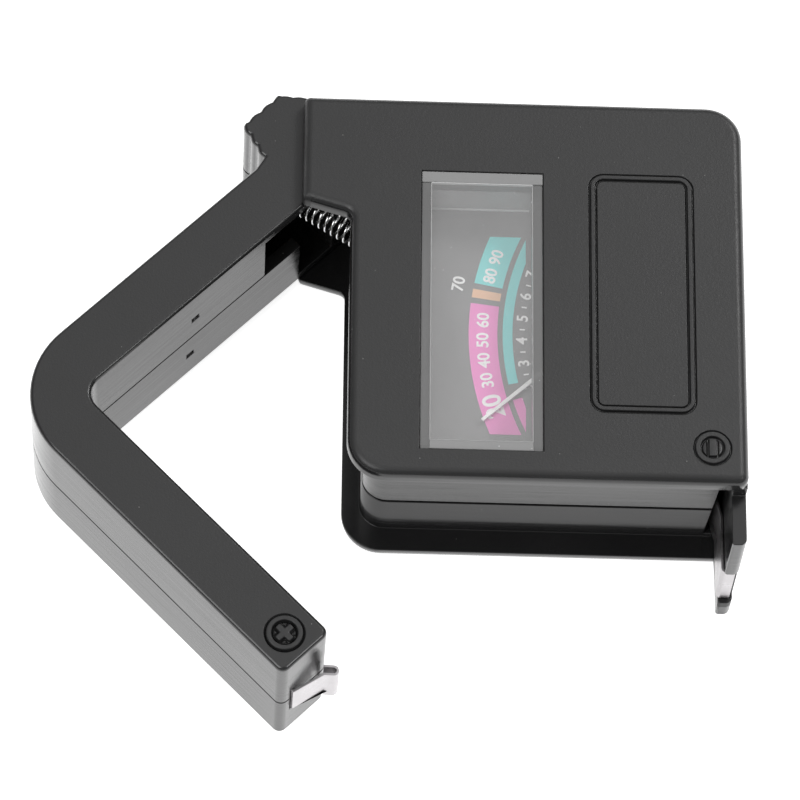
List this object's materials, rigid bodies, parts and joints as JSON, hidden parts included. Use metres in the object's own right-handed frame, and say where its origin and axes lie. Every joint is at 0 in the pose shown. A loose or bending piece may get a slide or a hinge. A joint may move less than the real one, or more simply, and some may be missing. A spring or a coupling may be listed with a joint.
{
  "type": "battery tester",
  "caption": "Pocket battery tester with a needle meter behind a window and a sprung L-shaped arm that clamps a cell against a contact on the case.",
  "frame": {"origin": "middle of the rear plate, on its outer face", "axes": "+X to the right of the face, +Y up the face towards the pivot, +Z out of the face; it lies face up on Z = 0"},
  "size_m": [0.0808, 0.0719, 0.0238],
  "materials": {
    "case_plastic": "fine spark texture, satin",
    "arm_plastic": "fine spark texture, satin",
    "lens": "clear moulded styrene",
    "dial": "printed matt",
    "frame_plastic": "matt",
    "magnet": "sintered",
    "iron": "plated",
    "brass": "bright",
    "steel": "bright",
    "contact": "nickel plated",
    "spring_steel": "plated wire",
    "winding": "enamelled copper",
    "board": "phenolic",
    "resistor": "lacquer",
    "lead": "insulation",
    "needle": "white"
  },
  "bodies": {
    "body": {"front_case": "case_plastic", "rear_case": "case_plastic", "window_lens": "lens", "dial_plate": "dial", "meter_frame": "frame_plastic", "meter_magnet": "magnet", "meter_ring": "iron", "magnet_clips": "brass", "meter_bridge": "brass", "jewel_screws": "brass", "dial_screws": "steel", "tag_board": "board", "load_resistors": "resistor", "internal_leads": "lead", "spring_anchor": "steel", "negative_contact": "contact", "side_contacts": "contact", "case_screws": "steel", "pivot_pin": "steel", "front_hairspring": "brass", "rear_hairspring": "brass", "tension_spring": "spring_steel"},
    "arm": {"arm_front_shell": "arm_plastic", "arm_rear_shell": "arm_plastic", "arm_screws": "steel", "positive_contact": "contact", "arm_conductor": "brass"},
    "pointer": {"pointer": "needle", "pointer_staff": "steel", "moving_coil": "winding"}
  },
  "joints": [
    {"name": "arm_hinge", "type": "hinge", "parent": "body", "child": "arm", "pos_m": [-0.0255, 0.01974, 0.0118], "axis": [0, 0, 1], "range_deg": [-16, 43], "stiffness_Nm_per_rad": 0.02, "springref_deg": 54.43, "deforming": ["tension_spring"]},
    {"name": "pointer_hinge", "type": "hinge", "parent": "body", "child": "pointer", "pos_m": [0.0054, -0.0021, 0.0118], "axis": [0, 0, 1], "range_deg": [-84, 0], "stiffness_Nm_per_rad": 0.000002}
  ]
}
